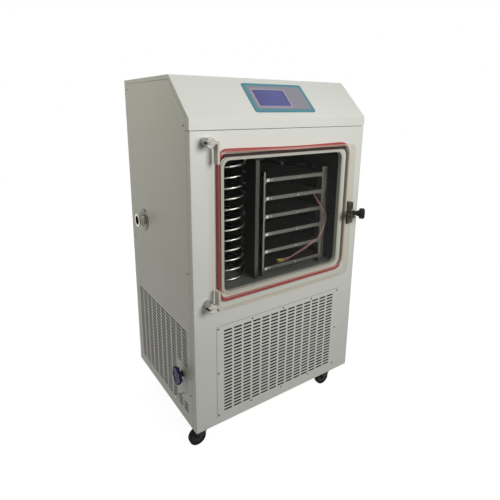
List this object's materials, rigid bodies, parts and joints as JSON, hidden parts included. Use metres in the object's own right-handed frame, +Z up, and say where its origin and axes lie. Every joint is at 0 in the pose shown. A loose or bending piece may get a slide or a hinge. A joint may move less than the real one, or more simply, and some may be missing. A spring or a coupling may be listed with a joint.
{
  "type": "shelf freeze dryer",
  "caption": "Floor-standing shelf freeze dryer: clear hinged door, cold-trap coil and shelves in a vacuum chamber, sloped touch-screen console, vented cabinet on swivel casters.",
  "frame": {"origin": "centre of the bounding box at the floor, under the casters", "axes": "+X to the right seen from the front, +Y to the back (the door faces -Y), +Z up"},
  "size_m": [0.89, 0.7105, 1.475],
  "materials": {
    "enclosure": "fine textured powder coat, warm light grey",
    "frame_paint": "satin dark paint",
    "fixings": "zinc-plated",
    "display_face": "printed satin membrane, teal border with a grey-mauve field",
    "screen": "glossy touch glass, indigo picture",
    "stainless": "brushed stainless steel",
    "polished_steel": "polished stainless steel",
    "insulation": "closed-cell foam",
    "gasket_rubber": "matte red silicone",
    "probe_cable": "pinkish-red sleeve",
    "probe_tip": "yellow",
    "valve_black": "black moulded plastic",
    "handwheel_blue": "dark blue moulded plastic",
    "compressor_black": "semi-gloss black",
    "condenser_fins": "bare fins",
    "fan_plastic": "black",
    "tank_steel": "satin",
    "box_grey": "satin light grey",
    "latch_dark": "black oxide",
    "knob_black": "black moulded plastic",
    "clear_door": "clear acrylic sheet",
    "hinge_white": "satin",
    "caster_steel": "black",
    "caster_tread": "black"
  },
  "bodies": {
    "cabinet": {"base_tray": "enclosure", "inner_frame": "frame_paint", "front_panel": "enclosure", "vent_panel": "enclosure", "left_side_panel": "enclosure", "right_side_panel": "enclosure", "rear_panel": "enclosure", "hood": "enclosure", "cabinet_screws": "fixings", "display_panel": "display_face", "touch_screen": "screen", "chamber_shell": "stainless", "mouth_flange": "polished_steel", "insulation_jacket": "insulation", "door_gasket": "gasket_rubber", "rack_frame": "stainless", "shelf_1": "stainless", "shelf_2": "stainless", "shelf_3": "stainless", "shelf_4": "stainless", "shelf_5": "stainless", "shelf_6": "stainless", "trap_coil": "polished_steel", "coil_stand": "stainless", "trap_baffle": "stainless", "oil_manifold": "stainless", "wall_fittings": "polished_steel", "probe_wire_a": "probe_cable", "probe_wire_b": "probe_cable", "probe_tip_a": "probe_tip", "probe_tip_b": "probe_tip", "vacuum_port": "polished_steel", "port_rosette": "polished_steel", "drain_valve_body": "valve_black", "drain_nozzle": "polished_steel", "compressors": "compressor_black", "condenser": "condenser_fins", "fan_motor": "compressor_black", "oil_tank": "tank_steel", "electrical_box": "box_grey", "cable_gland": "valve_black", "hinge_posts": "polished_steel", "pivot_pins": "fixings", "latch_bracket": "latch_dark", "caster_plates": "caster_steel"},
    "door": {"door_plate": "clear_door", "hinge_bars": "hinge_white", "door_lug": "latch_dark"},
    "latch_arm": {"swing_bolt": "latch_dark"},
    "latch_knob": {"clamp_knob": "knob_black"},
    "drain_wheel": {"drain_handwheel": "handwheel_blue"},
    "fan": {"fan_blades": "fan_plastic"},
    "swivel_front_left": {"fork_front_left": "caster_steel"},
    "roller_front_left": {"wheel_front_left": "caster_tread"},
    "swivel_front_right": {"fork_front_right": "caster_steel"},
    "roller_front_right": {"wheel_front_right": "caster_tread"},
    "swivel_rear_left": {"fork_rear_left": "caster_steel"},
    "roller_rear_left": {"wheel_rear_left": "caster_tread"},
    "swivel_rear_right": {"fork_rear_right": "caster_steel"},
    "roller_rear_right": {"wheel_rear_right": "caster_tread"}
  },
  "joints": [
    {"name": "door_hinge", "type": "hinge", "parent": "cabinet", "child": "door", "pos_m": [-0.351, -0.31474, 0.954], "axis": [0, 0, -1], "range_deg": [0, 115]},
    {"name": "latch_swing", "type": "hinge", "parent": "cabinet", "child": "latch_arm", "pos_m": [0.368, -0.29374, 0.91], "axis": [0, 0, 1], "range_deg": [-45, 30]},
    {"name": "knob_turn", "type": "hinge", "parent": "latch_arm", "child": "latch_knob", "pos_m": [0.368, -0.29374, 0.91], "axis": [0.7071, -0.7071, 0], "continuous": true},
    {"name": "drain_wheel_turn", "type": "hinge", "parent": "cabinet", "child": "drain_wheel", "pos_m": [-0.433, -0.16974, 0.319], "axis": [-1, 0, 0], "range_deg": [0, 720]},
    {"name": "fan_spin", "type": "hinge", "parent": "cabinet", "child": "fan", "pos_m": [0.018, -0.18944, 0.34], "axis": [0, 1, 0], "continuous": true},
    {"name": "swivel_front_left", "type": "hinge", "parent": "cabinet", "child": "swivel_front_left", "pos_m": [-0.337, -0.21774, 0.099], "axis": [0, 0, 1], "continuous": true},
    {"name": "roll_front_left", "type": "hinge", "parent": "swivel_front_left", "child": "roller_front_left", "pos_m": [-0.375, -0.21774, 0.0375], "axis": [0, 1, 0], "continuous": true},
    {"name": "swivel_front_right", "type": "hinge", "parent": "cabinet", "child": "swivel_front_right", "pos_m": [0.373, -0.21774, 0.099], "axis": [0, 0, 1], "continuous": true},
    {"name": "roll_front_right", "type": "hinge", "parent": "swivel_front_right", "child": "roller_front_right", "pos_m": [0.335, -0.21774, 0.0375], "axis": [0, 1, 0], "continuous": true},
    {"name": "swivel_rear_left", "type": "hinge", "parent": "cabinet", "child": "swivel_rear_left", "pos_m": [-0.337, 0.28226, 0.099], "axis": [0, 0, 1], "continuous": true},
    {"name": "roll_rear_left", "type": "hinge", "parent": "swivel_rear_left", "child": "roller_rear_left", "pos_m": [-0.337, 0.24426, 0.0375], "axis": [-1, 0, 0], "continuous": true},
    {"name": "swivel_rear_right", "type": "hinge", "parent": "cabinet", "child": "swivel_rear_right", "pos_m": [0.373, 0.28226, 0.099], "axis": [0, 0, 1], "continuous": true},
    {"name": "roll_rear_right", "type": "hinge", "parent": "swivel_rear_right", "child": "roller_rear_right", "pos_m": [0.373, 0.24426, 0.0375], "axis": [-1, 0, 0], "continuous": true}
  ]
}
